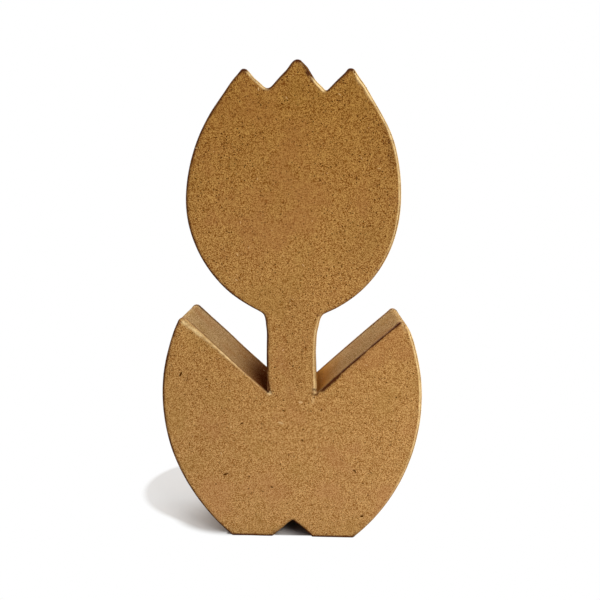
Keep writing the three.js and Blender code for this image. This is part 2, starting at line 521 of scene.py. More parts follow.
@dataclass(frozen=True)
class HandWork:
    """How the form leans to the viewer's right at heights above the table, swells and is pulled."""

    lean: tuple[Flat, ...] = (
        (0.0, 1.1),
        (20.0, 0.9),
        (42.0, 0.4),
        (62.0, 0.0),
        (84.0, -0.5),
        (102.0, 0.15),
        (116.0, -0.05),
        (139.0, -0.55),
        (163.0, 0.0),
        (185.0, 0.45),
        (200.0, 0.95),
    )
    ease: float = 6.0
    swell: float = 0.27
    pulls: tuple[Pull, ...] = (
        Pull((16.5, 192.0), (-0.1, 0.15), 4.0),
        Pull((20.0, 196.6), (-0.45, 0.1), 1.6),
        Pull((-20.8, 196.4), (-0.4, 0.0), 2.5),
        Pull((-1.8, 198.6), (-0.65, 0.1), 3.0),
        Pull((-30.0, 83.0), (0.15, 0.2), 9.0),
        Pull((21.3, 196.0), (0.35, 0.5), 3.5),
        Pull((26.0, 190.0), (0.45, 0.35), 6.0),
        Pull((38.0, 168.0), (0.35, 0.2), 9.0),
        Pull((0.8, 199.8), (0.25, 0.25), 3.0),
        Pull((3.6, 196.6), (0.3, 0.25), 2.0),
        Pull((-6.0, 192.0), (-0.15, 0.2), 4.0),
        Pull((-11.7, 187.6), (0.0, 0.65), 1.5),
        Pull((-24.0, 190.0), (-0.45, 0.3), 5.0),
        Pull((-11.0, 94.0), (-0.75, 0.0), 3.2),
        Pull((10.8, 94.0), (0.75, 0.0), 3.2),
        Pull((-51.0, 36.0), (-0.45, -0.1), 22.0),
        Pull((-48.0, 82.0), (0.6, 0.0), 13.0),
        Pull((-18.0, 100.0), (0.25, 0.25), 8.0),
        Pull((-17.0, 193.0), (-0.2, -0.35), 2.5),
        Pull((7.4, 191.5), (-0.2, -0.35), 2.5),
        Pull((46.0, 94.0), (-0.5, -0.5), 4.0),
        Pull((11.0, 78.0), (-0.3, 0.0), 8.0),
        Pull((13.0, 0.5), (-1.4, 0.0), 4.0),
        Pull((1.5, 8.4), (0.0, -0.7), 2.2),
        Pull((47.0, 98.0), (-0.6, 0.1), 4.0),
    )

    def moved(self, flat: np.ndarray) -> np.ndarray:
        """Leans and pulls the true form.

        Args:
            flat: places in X and Z of the true form.

        Returns:
            Where they lie in the form pasted by hand.
        """
        known, shifts = zip(*self.lean)
        steps = (-self.ease, 0.0, self.ease)
        lean = sum(np.interp(flat[:, 1] + step, known, shifts) for step in steps) / len(steps)
        leaning = flat + np.column_stack([lean, np.zeros(len(flat))])
        return leaning + sum(pull.moved(flat) for pull in self.pulls)


@dataclass(frozen=True)
class Trace:
    """A line on a face: a fold that stands up, a stained seam, a patch of painted shade, or a pale ridge
    that is worn and painted as a highlight.

    Its breaks are patches about 2 mm long, and broken says how much they take away.
    """

    points: tuple[Flat, ...]
    width: float
    strength: float
    broken: float = 0.0
    breaks: Ripple = Ripple(2.3, 1.6)
    break_depth: float = 0.6
    break_peak: float = 1.4

    def on(self, flat: np.ndarray) -> np.ndarray:
        """Its strength, which fades across its width and in the breaks along it.

        Args:
            flat: places in X and Z.

        Returns:
            The strength at each place.
        """
        gap = np.full(len(flat), np.inf)
        for start, end in zip(np.array(self.points), np.array(self.points[1:])):
            np.minimum(gap, gap_to(flat, start, end), out=gap)
        amount = self.strength * fading(gap, self.width)
        if self.broken:
            near = np.flatnonzero(gap < 3 * self.width)
            places = np.column_stack([flat[near], np.full(len(near), self.points[0][0])])
            change = self.broken * (self.breaks.at(places) - self.break_depth)
            amount[near] *= np.clip(1 + change, 0, self.break_peak)
        return amount

    def mirrored(self) -> "Trace":
        """The same line on the other half."""
        return replace(self, points=tuple((-x, z) for x, z in self.points))


@dataclass(frozen=True)
class Handling:
    """The traces on a face: folds that stand up or sink, dark stains of paste and painted shade, and
    pale wear and painted highlights.
    """

    folds: tuple[Trace, ...]
    stains_and_shade: tuple[Trace, ...]
    wear_and_light: tuple[Trace, ...]

    @staticmethod
    def total(traces: Sequence[Trace], flat: np.ndarray) -> np.ndarray:
        """What traces add up to at places in X and Z."""
        return sum((trace.on(flat) for trace in traces), np.zeros(len(flat)))

    def marks(self, flat: np.ndarray) -> list[np.ndarray]:
        """The stain and painted shade, and the wear and painted highlights, at places in X and Z."""
        return [self.total(traces, flat) for traces in (self.stains_and_shade, self.wear_and_light)]

    def behind(self, count: int) -> "Handling":
        """The first few traces of each kind, mirrored for the back."""
        kinds = (self.folds, self.stains_and_shade, self.wear_and_light)
        return Handling(*(tuple(trace.mirrored() for trace in kind[:count]) for kind in kinds))


@dataclass(frozen=True)
class SoakAndShade:
    """Where paste and glue soaked into the strips, darkened further by painted shade in the crotches:
    how far, how dark, and how much painted amber bounce light lies around it.
    """

    at: Flat
    reach: float
    dark: float
    amber_bounce_light: float = 0.0


# The cut line


@dataclass
class CutLine:
    """The tulip's outline in X and Z, anticlockwise seen from the front."""

    points: np.ndarray
    inward: np.ndarray = field(init=False)
    along: np.ndarray = field(init=False)
    total: float = field(init=False)

    def __post_init__(self) -> None:
        """Works out the inward mitre and the length at every point."""
        ahead = np.roll(self.points, -1, 0) - self.points
        lengths = np.linalg.norm(ahead, axis=1)
        self.along = np.concatenate([[0], np.cumsum(lengths)[:-1]])
        self.total = float(lengths.sum())
        after = np.column_stack([-ahead[:, 1], ahead[:, 0]]) / lengths[:, None]
        before = np.roll(after, 1, 0)
        self.inward = (before + after) / (1 + np.sum(before * after, axis=1))[:, None]

    @classmethod
    def of(cls, node: bpy.types.Object, step: float) -> "CutLine":
        """Reads the outline of a cover's face and rounds its facets into curves.

        Args:
            node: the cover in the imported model.
            step: the longest distance between two points.

        Returns:
            The outline.
        """
        places: dict[tuple, int] = {}
        index = [
            places.setdefault(tuple(round(c / MM, 4) for c in v.co), len(places))
            for v in node.data.vertices
        ]
        at = np.array(list(places))
        on_face = at[:, 1] < at[:, 1].min() + 0.001
        edges = set()
        for face in node.data.polygons:
            ring = [index[i] for i in face.vertices]
            if on_face[ring].all():
                edges.update(zip(ring, ring[1:] + ring[:1]))
        following = {a: b for a, b in edges if (b, a) not in edges}
        loop = [min(following)]
        while following[loop[-1]] != loop[0]:
            loop.append(following[loop[-1]])
        corners = at[loop][:, [0, 2]]
        ahead = np.roll(corners, -1, 0)
        if np.sum(corners[:, 0] * ahead[:, 1] - ahead[:, 0] * corners[:, 1]) < 0:
            corners = corners[::-1]
        return cls(cls._rounded(corners, step))

    @staticmethod
    def _rounded(corners: np.ndarray, step: float, straight: float = 4.0) -> np.ndarray:
        """Puts curves through the points of a loop.

        Args:
            corners: the points.
            step: the longest distance between two points of a curve.
            straight: a side this many times longer than its neighbour keeps its direction.

        Returns:
            The points of the curves.
        """
        after = np.roll(corners, -1, 0) - corners
        length_after = np.linalg.norm(after, axis=1, keepdims=True)
        after = after / length_after
        before, length_before = np.roll(after, 1, 0), np.roll(length_after, 1, 0)
        tangent = before + after
        tangent = np.where(length_before > straight * length_after, before, tangent)
        tangent = np.where(length_after > straight * length_before, after, tangent)
        tangent /= np.linalg.norm(tangent, axis=1, keepdims=True)
        rounded = []
        for i, start in enumerate(corners):
            j = (i + 1) % len(corners)
            chord = float(length_after[i, 0])
            steps = max(2, math.ceil(chord / step))
            t = (np.arange(steps) / steps)[:, None]
            rounded.append(
                (2 * t**3 - 3 * t**2 + 1) * start
                + (t**3 - 2 * t**2 + t) * chord * tangent[i]
                + (3 * t**2 - 2 * t**3) * corners[j]
                + (t**3 - t**2) * chord * tangent[j]
            )
        return np.concatenate(rounded)

    def leaning(self, hand: HandWork) -> "CutLine":
        """The outline as it was pasted by hand, point by point, with its feet on the table."""
        flat = hand.moved(self.inset(-hand.swell))
        return CutLine(np.column_stack([flat[:, 0], np.maximum(flat[:, 1], 0.0)]))

    def inset(self, distance: np.ndarray | float) -> np.ndarray:
        """The outline moved inwards by a distance, or by one for every point."""
        return self.points + self.inward * np.reshape(distance, (-1, 1))

    def run_of(
        self, node: bpy.types.Object, lap: float, touch: float = 0.02
    ) -> tuple[np.ndarray, np.ndarray]:
        """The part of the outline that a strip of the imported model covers.

        Args:
            node: the strip.
            lap: how far the run goes on past both ends of the strip.
            touch: how near the outline a corner of the strip lies on it.

        Returns:
            The numbers of its points, and the distance of each past the strip's nearer end.
        """
        flat = places_of(node.data)[:, [0, 2]]
        gap = np.linalg.norm(flat[:, None] - self.points[None], axis=2)
        nearest = gap.argmin(axis=1)[gap.min(axis=1) < touch]
        stations = np.unique(self.along[nearest])
        spaces = np.diff(np.append(stations, stations[0] + self.total))
        widest = int(spaces.argmax())
        end = stations[widest]
        start = stations[(widest + 1) % len(stations)]
        length = (end - start) % self.total
        ahead = (self.along - start + lap) % self.total
        order = np.argsort(ahead)
        order = order[ahead[order] <= length + 2 * lap + 1e-6]
        place = ahead[order] - lap
        return order, np.maximum(np.maximum(-place, place - length), 0)

    def distance(self, places: np.ndarray) -> np.ndarray:
        """Measures how far inside the outline places lie, with every second point of it.

        Args:
            places: the places in X and Z.

        Returns:
            The distance of each place from the outline, negative outside.
        """
        nearest = np.full(len(places), np.inf)
        inside = np.zeros(len(places), bool)
        coarse = self.points[::2]
        for start, end in zip(coarse, np.roll(coarse, -1, 0)):
            np.minimum(nearest, gap_to(places, start, end), out=nearest)
            crosses = (start[1] > places[:, 1]) != (end[1] > places[:, 1])
            slant = (end[0] - start[0]) / (end[1] - start[1] or 1e-12)
            inside ^= crosses & (places[:, 0] < start[0] + (places[:, 1] - start[1]) * slant)
        return np.where(inside, nearest, -nearest)


# Finishes


GRAINY: Range = (0.3, 0.7)


@dataclass(frozen=True)
class KraftFinish:
    """Recycled kraft paper: warm brown pulp with fine mottling, dark chips and pale fibres.

    The mottling is fainter at the foot than high up, and the colour darkens towards the top, partly
    as the paper's tone and partly as painted shade. A sheet's vertices store where it darkens, with
    paste and with painted shade, and where it lightens: pale wear and painted highlights on a face,
    and painted amber bounce light on a strip. A strength of the two is given for the darkest and for
    the lightest pulp, any other for the foot and the top.
    """

    name: str
    light: Colour = (0.675, 0.403, 0.150)
    dark: Colour = (0.22, 0.070, 0.008)
    olive: Colour = (0.38, 0.215, 0.058)
    rosy: Colour = (0.44, 0.200, 0.078)
    # The dark colour serves paste and painted shade; the pale one serves wear and painted highlights.
    paste_and_shade: Colour = (0.062, 0.016, 0.004)
    wear_and_light: Colour = (0.82, 0.59, 0.28)
    top_tone_and_shade: Colour = (0.665, 0.59, 0.37)
    fleck: Colour = (0.075, 0.020, 0.002)
    grain_size: float = 0.33
    flakes_in_grain: float = 1.3
    fleck_size: float = 1.05
    cloud_size: float = 2.7
    hue_size: float = 19.0
    top: float = 170.0
    mottling: Range = (0.82, 1.67)
    flake_share: float = 1.45
    cloud_share: float = 0.32
    fleck_edge: Range = (0.22, 0.32)
    dark_chance: Range = (0.64, 0.80)
    pale_chance: Range = (0.45, 0.80)
    dark_strength: Range = (0.45, 1.15)
    pale_strength: float = 0.6
    flecked: float = 1.0
    olive_from: Range = (0.52, 0.68)
    olive_share: float = 0.28
    rosy_from: Range = (0.48, 0.34)
    rosy_share: float = 0.35
    top_tone_and_shade_from: float = 0.06
    wear_and_light_strength: Range = (0.35, 1.65)
    paste_and_shade_strength: Range = (1.6, 0.4)
    relief: float = 0.06
    gloss: float = 0.03
    rough: Range = (0.60, 0.70)
    bump: float = 0.6
    flakes_start: Place = (2.0, 9.0, 4.0)
    clouds_start: Place = (7.0, 3.0, 1.0)
    hues_start: Place = (31.0, 11.0, 5.0)
    start: Place = (0.0, 0.0, 0.0)

    def material(self) -> bpy.types.Material:
        """The paper's material."""
        paint = Paint(self.name)
        place = paint.place + self.start
        height = paint.split(paint.place)[2] / self.top
        pulp = paint.noise(self.grain_size, detail=0.0, at=place)
        cloud = paint.noise(self.cloud_size, detail=3.0, rough=0.6, at=place + self.clouds_start)
        _, flake = paint.cells(self.grain_size / self.flakes_in_grain, place + self.flakes_start)
        mottle = (pulp - 0.5) + (flake[0] - 0.5) * self.flake_share
        mottle = mottle * (height * height).rising(*self.mottling)
        colour = paint.mix(mottle + (cloud - 0.5) * self.cloud_share + 0.5, self.dark, self.light)
        away, chance = paint.cells(self.fleck_size, place)
        spot = away.between(*self.fleck_edge, 1.0, 0.0) * self.flecked
        dark_spot = spot * chance[0].between(*self.dark_chance)
        pale_spot = spot * chance[1].between(*self.pale_chance)
        colour = paint.mix(dark_spot * height.rising(*self.dark_strength), colour, self.fleck)
        colour = paint.mix(pale_spot * self.pale_strength, colour, self.light)
        hue = paint.noise(self.hue_size, at=place + self.hues_start)
        colour = paint.mix(hue.between(*self.olive_from) * self.olive_share, colour, self.olive)
        colour = paint.mix(hue.between(*self.rosy_from) * self.rosy_share, colour, self.rosy)
        # Darker towards the top: partly the paper's tone, partly painted shade.
        colour = paint.mix(height - self.top_tone_and_shade_from, colour, self.top_tone_and_shade, "MULTIPLY")
        # Pale wear and painted highlights, or painted amber bounce light on a strip; then paste and
        # painted shade.
        wear_and_light = paint.attribute("wear_and_light") * pulp.rising(*self.wear_and_light_strength)
        paste_and_shade = paint.attribute("paste_and_shade") * pulp.rising(*self.paste_and_shade_strength)
        colour = paint.mix(paste_and_shade, paint.mix(wear_and_light, colour, self.wear_and_light), self.paste_and_shade)
        bump = paint.bump((pulp + cloud) * self.relief, self.bump)
        rough = pulp.between(*GRAINY, *reversed(self.rough))
        return paint.surface(colour, rough, bump, Specular_IOR_Level=self.gloss)


@dataclass(frozen=True)
class CardFinish:
    """Grey or brown card that the form is made of, inside the paper, with layers along its faces."""

    name: str
    light: Colour
    dark: Colour
    pulp_size: float = 0.8
    layer_size: float = 0.25
    layer_stretch: Place = (0.1, 1.0, 0.1)
    layer_share: float = 0.4
    tones: Range = (0.4, 0.95)
    relief: float = 0.08
    bump: float = 0.5
    gloss: float = 0.2
    rough: Range = (0.95, 0.85)

    def material(self) -> bpy.types.Material:
        """The card's material."""
        paint = Paint(self.name)
        pulp = paint.noise(self.pulp_size, detail=4.0, rough=0.6)
        layers = paint.noise(self.layer_size, detail=1.0, at=paint.place * self.layer_stretch)
        tone = (pulp + layers * self.layer_share).between(*self.tones)
        rough = pulp.between(*GRAINY, *self.rough)
        bump = paint.bump(pulp * self.relief, self.bump)
        colour = paint.mix(tone, self.dark, self.light)
        return paint.surface(colour, rough, bump, Specular_IOR_Level=self.gloss)


@dataclass(frozen=True)
class ChipFinish:
    """A splinter of wood or a strand of straw that lies in the paper's surface."""

    name: str
    light: Colour
    dark: Colour
    grain_size: float = 0.3
    relief: float = 0.03
    bump: float = 0.4
    gloss: float = 0.01
    rough: Range = (0.95, 0.85)

    def material(self) -> bpy.types.Material:
        """The splinter's material."""
        paint = Paint(self.name)
        grain = paint.noise(self.grain_size)
        colour = paint.mix(grain.between(*GRAINY), self.dark, self.light)
        rough = grain.between(*GRAINY, *self.rough)
        bump = paint.bump(grain * self.relief, self.bump)
        return paint.surface(colour, rough, bump, Specular_IOR_Level=self.gloss)


# The paper


@dataclass(frozen=True)
class EdgeTone:
    """How strong a mark is along a turned edge: its level, what each facing adds, and its most."""

    level: float
    right: float
    up: float
    down: float
    most: float

    def on(self, out_x: np.ndarray, out_z: np.ndarray) -> np.ndarray:
        """Its strength by the way that the edge faces.

        Args:
            out_x: how far each point of the edge faces the viewer's right, from -1 to 1.
            out_z: how far it faces up, from -1 to 1.

        Returns:
            The strength at each point.
        """
        up, down = np.clip(out_z, 0, 1), np.clip(-out_z, 0, 1)
        tone = self.level + self.right * out_x + self.up * up + self.down * down
        return np.clip(tone, 0, self.most)


@dataclass
class FaceCover:
    """The sheet on one face, with its rim turned over the edge and torn off behind it.

    The edge is rounder where it faces the viewer's right, and tighter on the leaves' tops, which are
    its ledges, and under the feet, which are its soles. Paste darkens it evenly, and painted shade
    darkens it more where it faces left and down, with a painted contact shadow under the soles. A
    painted highlight lightens it where it faces right and up. A bend is the angle of a ring round the
    edge, and how much of the edge's stain and painted shade it takes.
    """

    line: CutLine
    side: Side
    material: bpy.types.Material
    handling: Handling
    seed: float = 3.0
    edge_radius: float = 1.15
    lit_radius: float = 0.3
    foot_radius: float = 0.55
    ledge_radius: float = 0.5
    grid: float = 0.62
    slack: float = 0.16
    proud: float = 0.12
    thinnest: float = 0.07
    wave: Ripple = Ripple(26.0, 0.10)
    dent: Ripple = Ripple(7.5, 0.06, 5.0)
    pulp: Ripple = Ripple(1.6, 0.025, 9.0)
    turn: Ripple = Ripple(9.0, 0.14, 2.0)
    rim: Ripple = Ripple(5.0, 0.025, 4.0)
    tears: tuple[Ripple, ...] = (Ripple(4.0, 0.21, 6.0), Ripple(0.9, 0.15, 7.0))
    patches: Ripple = Ripple(3.1, 0.6, 8.0)
    neck_middle: float = 79.0
    neck_reach: float = 15.0
    neck_side: float = 14.0
    leaf_tips: float = 100.0
    ledge_facing: Range = (0.4, 0.7)
    sole_height: float = 2.0
    # An even paste stain on the edge, with painted shade where it faces left and down.
    stain_and_shade: EdgeTone = EdgeTone(0.6, -1.1, 0.25, 0.8, most=1.6)
    stain_and_shade_ledge_loss: float = 0.45
    stain_and_shade_on_face: float = 0.05
    # How strongly the painted contact shadow under the feet darkens the face, the bends and the edge.
    sole_on_face: float = 0.7
    sole_on_bend: float = 0.6
    sole_on_edge: float = 0.8
    lit_crease: float = 0.16
    crease_width: float = 0.3
    # Painted highlight on the edge where it faces right and up, towards the light.
    edge_highlight: EdgeTone = EdgeTone(0.0, 0.85, 0.2, -0.7, most=0.95)
    highlight_ledge_loss: float = 0.6
    highlight_neck_loss: float = 0.5
    highlight_rise: float = 2.2
    highlight_fade: float = 0.3
    wear_and_highlight_fade: float = 0.5
    bends: tuple[Range, ...] = (
        (0.0, 0.15),
        (15.0, 0.37),
        (30.0, 0.575),
        (45.0, 0.751),
        (60.0, 0.886),
        (75.0, 0.646),
        (90.0, 0.35),
    )
    rim_shares: tuple[float, ...] = (0.35, 0.65, 0.85, 1.0)
    rim_carry: float = 0.25
    rim_stain: float = 0.1
    tear_stain: float = 0.5
    lining_stain: float = 0.3
    tear_lip: float = 0.06
    feather: float = 0.11
    feathered_to: float = 1.9
    full_from: float = 1.8
    wall_play: float = 0.03
    board_play: float = 0.01

    @property
    def name(self) -> str:
        """The piece's name."""
        return f"{self.side.name.lower()}_cover_paper"

    def _at(self, flat: np.ndarray, depth: np.ndarray | float) -> np.ndarray:
        """Places in space from places in X and Z, at a depth behind the face's plane."""
        y = self.side.value * (HALF_DEPTH - np.broadcast_to(depth, len(flat)))
        return np.column_stack([flat[:, 0], y, flat[:, 1]])

    def _ring(self, inset: np.ndarray | float, depth: np.ndarray | float) -> np.ndarray:
        """The outline at an inset and a depth behind the face's plane."""
        return self._at(self.line.inset(inset), depth)

    def _sink(self, places: np.ndarray) -> np.ndarray:
        """How deep the sheet lies behind the face's plane.

        Args:
            places: places in space on the plane.

        Returns:
            The depth at each place, which keeps the sheet off the board and near the plane.
        """
        sink = self.slack + self.wave.at(places, self.seed)
        sink += np.abs(self.dent.at(places, self.seed)) - 0.5 * self.dent.height
        sink += self.pulp.at(places, self.seed)
        sink -= Handling.total(self.handling.folds, places[:, [0, 2]])
        return np.clip(sink, -self.proud, SHEET - self.thinnest)

    def _rings(self) -> tuple[list[np.ndarray], np.ndarray, int]:
        """The sheet's rings: from the face over the edge, along the rim, and back inside.

        Returns:
            The rings, the stain and painted shade and the wear and painted highlights of each one's
            points, and how many rings show.
        """
        place = self._ring(0.0, 0.0)
        out_x, out_z = -self.line.inward.T / np.linalg.norm(self.line.inward, axis=1)
        right, down = np.clip(out_x, 0, 1), np.clip(-out_z, 0, 1) ** 4
        x, height = self.line.points.T
        ledge = np.interp(out_z, self.ledge_facing, (0, 1)) * (height < self.leaf_tips)
        neck = np.exp(-(((height - self.neck_middle) / self.neck_reach) ** 4))
        neck *= np.abs(x) < self.neck_side
        # Painted contact shadow along the edge under the feet.
        sole_shadow = down * (height < self.sole_height)
        radius = self.edge_radius + self.lit_radius * right
        radius += (self.ledge_radius - radius) * ledge
        radius += (self.foot_radius - self.edge_radius) * down
        radius += self.turn.at(place, self.seed)
        sink = self._sink(self._ring(radius, 0.0))
        rim = self.rim.height + self.rim.at(place, self.seed)
        torn = RIM_END + sum(tear.at(place, self.seed) for tear in self.tears)
        patchy = 1 + self.patches.at(place, self.seed)
        # Paste stain and painted shade on the edge: darkest where it faces left and down, away from the
        # light.
        edge_stain_and_shade = self.stain_and_shade.on(out_x, out_z) * patchy * (1 - self.stain_and_shade_ledge_loss * ledge)
        edge_stain_and_shade += self.sole_on_edge * sole_shadow
        # Painted highlight on the edge where it faces right and up, towards the light.
        painted_edge_highlight = self.edge_highlight.on(out_x, out_z) * patchy
        painted_edge_highlight *= 1 - self.highlight_ledge_loss * ledge - self.highlight_neck_loss * neck

        rings = [self._ring(radius + self.crease_width, sink)]
        stain_and_shade, wear_and_highlight = self.handling.marks(rings[0][:, [0, 2]])
        stain_and_shade += self.stain_and_shade_on_face * edge_stain_and_shade + self.sole_on_face * sole_shadow
        marks = [(stain_and_shade + self.lit_crease * right, wear_and_highlight)]
        for degrees, soaked in self.bends:
            out, back = math.sin(math.radians(degrees)), math.cos(math.radians(degrees))
            turned = out**2
            level = sink * (1 - turned) + rim * turned
            inset, depth = (radius * (1 - way) + level * way for way in (out, back))
            rings.append(self._ring(inset, depth))
            stain_and_shade, wear_and_highlight = self.handling.marks(rings[-1][:, [0, 2]])
            highlight_share = min(1.0, self.highlight_rise * out) * (1 - self.highlight_fade * turned)
            wear_and_highlight = wear_and_highlight * (1 - self.wear_and_highlight_fade * turned) + painted_edge_highlight * highlight_share
            marks.append((stain_and_shade + self.sole_on_bend * sole_shadow + edge_stain_and_shade * soaked, wear_and_highlight))
        for share in self.rim_shares:
            rings.append(self._ring(rim, radius + (torn - radius) * share))
            rim_stain = self.rim_carry * stain_and_shade + self.rim_stain + self.tear_stain * share**3
            marks.append((rim_stain, np.zeros(len(place))))
        showing = len(rings)
        inside = SHEET - self.wall_play
        for inset, depth in (
            (self.feather, torn - self.tear_lip),
            (self.feather, self.feathered_to),
            (inside, self.full_from),
            (inside, SHEET - self.board_play),
        ):
            rings.append(self._ring(inset, depth))
            marks.append((np.full(len(place), self.lining_stain), np.zeros(len(place))))
        return rings, np.array(marks), showing

    def _fill(self, ring: np.ndarray, grid: float | None) -> tuple[np.ndarray, list[tuple[int, ...]]]:
        """Fills a ring with triangles.

        Args:
            ring: its points in space, which keep their numbers.
            grid: the spacing of the points laid inside it, or None for none.

        Returns:
            The points inside in X and Z, and the triangles.
        """
        flat = ring[:, [0, 2]]
        inside = np.zeros((0, 2))
        if grid:
            low, high = flat.min(0), flat.max(0)
            columns = np.arange(low[0], high[0], grid)
            rows = np.arange(low[1], high[1], grid * math.sqrt(3) / 2)
            x, z = np.meshgrid(columns, rows)
            x[1::2] += grid / 2
            lattice = np.column_stack([x.ravel(), z.ravel()])
            inside = lattice[CutLine(flat).distance(lattice) > 0.6 * grid]
        places = [Vector(p) for p in np.concatenate([flat, inside])]
        sides = [(i, (i + 1) % len(flat)) for i in range(len(flat))]
        points, _, faces, origins, _, _ = delaunay_2d_cdt(places, sides, [], 1, 1e-6)
        if len(points) != len(places):
            log.warning("%s: %d points became %d", self.name, len(places), len(points))
        return inside, [tuple(origins[i][0] for i in face) for face in faces]

    def build(self) -> bpy.types.Object:
        """Makes the sheet as one closed shell.

        Returns:
            The piece.
        """
        rings, marks, showing = self._rings()
        inside, face = self._fill(rings[0], self.grid)
        _, lining = self._fill(rings[-1], None)
        count = len(self.line.points)
        last = count * (len(rings) - 1)
        first_inside = last + count
        points = np.concatenate([*rings, self._at(inside, self._sink(self._at(inside, 0.0)))])
        faces = [tuple(i if i < count else i - count + first_inside for i in f) for f in face]
        for here in range(0, last, count):
            there = here + count
            for i in range(count):
                j = (i + 1) % count
                faces.append((here + j, here + i, there + i, there + j))
        faces += [tuple(last + i for i in reversed(f)) for f in lining]
        mesh = mesh_from(self.name, points, faces)
        for i, inner in enumerate(self.handling.marks(inside)):
            name = ("paste_and_shade", "wear_and_light")[i]
            set_attribute(mesh, name, np.concatenate([marks[:, i].ravel(), inner]))
        shown = np.zeros(len(points))
        shown[: count * showing] = 1
        shown[first_inside:] = 1
        set_attribute(mesh, "shown", shown)
        mesh.materials.append(self.material)
        outward(mesh)
        return place_piece(self.name, mesh, [f"{self.side.name.lower()}_cover"])


@dataclass
class WallStrips:
    """The strips on the walls, each a slab that follows the outline and laps its neighbours.

    A wrapping strip goes on past its ends as a thinner tongue that the tucked strips cover.
    Cockles and frays are noises: the length of their waves, their detail and their share.
    """

    straight: CutLine
    line: CutLine
    material: bpy.types.Material
    painted_sheen_paper: bpy.types.Material
    half_width: float = 18.0
    tongue_half_width: float = 17.0
    lap: float = 3.4
    lift: float = 0.14
    bottom: float = 0.38
    tongue_lift: float = 0.02
    tongue_bottom: float = 0.12
    relief: float = 0.11
    tear: float = 0.5
    row_height: float = 0.8
    tongue_from: float = 0.02
    cockles: tuple[Wave, ...] = ((17.0, 1.0, 0.7), (4.0, 1.0, 0.35), (1.7, 0.0, 0.12))
    steepness: float = 1.2
    frays: tuple[Wave, ...] = ((1.1, 2.0, 1.0), (5.0, 0.0, 1.0))
    rim_shade: Range = (0.945, 0.975)
    torn_shade: float = 0.8
    wrapping: tuple[str, ...] = ("base", "crown", "right_nook", "left_nook")
    tucked: tuple[str, ...] = ("right_leaf", "right_head", "left_head", "left_leaf")
    # Paste and painted shade darken the strips into the crotches, with painted amber bounce light around
    # them.
    soaks_and_shades: tuple[SoakAndShade, ...] = (
        SoakAndShade((-10.2, 65.5), 13.5, dark=1.02),
        SoakAndShade((-10.2, 65.5), 20.0, dark=0.0, amber_bounce_light=0.30),
        SoakAndShade((10.2, 65.5), 8.5, dark=0.12, amber_bounce_light=0.75),
        SoakAndShade((10.2, 63.4), 2.8, dark=0.4),
    )

    def _shaper(self, sizes: Sequence[str]) -> Shaper:
        """The tree that makes a strip from the points that it follows.

        Args:
            sizes: the names of its inputs that are sizes in metres.

        Returns:
            The tree.
        """
        tree = Shaper("paper_strip")
        count = tree.input("Points", "Int")
        rows = tree.input("Rows", "Int")
        seed = tree.input("Seed")
        size = {name: tree.input(name) for name in sizes}
        material = tree.input("Material", "Material")
        values = {"Size": (1, 1, 1), "Vertices X": count, "Vertices Y": rows, "Vertices Z": 2}
        slab = tree.add("GeometryNodeMeshCube", None, values)
        share, across, level = tree.split(tree.add("GeometryNodeInputPosition"))
        steps = (share + 0.5) * (count - 1)
        index = tree.add("ShaderNodeMath", {"operation": "ROUND"}, {0: steps})

        def along_path(name: str, kind: str) -> Signal:
            """What the path stores under a name, at the point of it that a vertex belongs to."""
            values = {0: tree.carrier, 1: tree.stored(name, kind), 2: index}
            return tree.add("GeometryNodeSampleIndex", {"data_type": kind}, values)

        tongue, torn, stain_and_shade, amber_bounce_light = (
            along_path(name, "FLOAT") for name in ("tongue", "torn", "stain_and_shade", "amber_bounce_light")
        )
        point, inward, ahead = (
            along_path(name, "FLOAT_VECTOR") for name in ("position", "inward", "ahead")
        )

        def own(name: str) -> Signal:
            """A size of the strip, or of the tongue where the vertex is in one."""
            return size[name] + (size[f"Tongue {name}"] - size[name]) * tongue

        sideways = tree.add("ShaderNodeCombineXYZ", None, {"Y": across * 2 * own("half width")})
        seeded = tree.add("ShaderNodeCombineXYZ", None, {"X": seed, "Y": seed * 3.1})

        def waves(kinds: Sequence[Wave]) -> Operand:
            """Adds up noises about 0 over the strip.

            Args:
                kinds: the length, detail and share of each.

            Returns:
                Their total.
            """
            total: Operand = 0.0
            for length, detail, weight in kinds:
                place = (point + sideways) * (1 / MM / length) + seeded
                values = {"Vector": place, "Scale": 1.0, "Detail": detail}
                rough = tree.add("ShaderNodeTexNoise", {"noise_dimensions": "3D"}, values)
                total = total + (rough - 0.5) * (2 * weight)
            return total

        raised = (waves(self.cockles) * self.steepness + 0.5).between(0.0, 1.0)
        raised = raised * size["relief"] * (1 - tongue)
        is_top = level > 0
        depth = (own("lift") + raised) * is_top + own("bottom") * (1 - is_top)
        ragged = waves(self.frays) * torn * size["tear"]
        moved = point + inward * depth + sideways + ahead * ragged
        edge = tree.add("ShaderNodeMath", {"operation": "ABSOLUTE"}, {0: across * 2})
        # Paste along the rims and torn ends, and the paste and painted shade of the crotches.
        paste_and_shade = edge.between(*self.rim_shade) | (torn * self.torn_shade) | stain_and_shade
        kept = slab
        for name, value in {"paste_and_shade": paste_and_shade, "wear_and_light": amber_bounce_light, "shown": is_top}.items():
            settings = {"data_type": "FLOAT", "domain": "POINT"}
            values = {"Geometry": kept, "Name": name, "Value": value}
            kept = tree.add("GeometryNodeStoreNamedAttribute", settings, values)
        values = {"Geometry": kept, "Position": moved}
        tree.finish(tree.add("GeometryNodeSetPosition", None, values), material)
        return tree

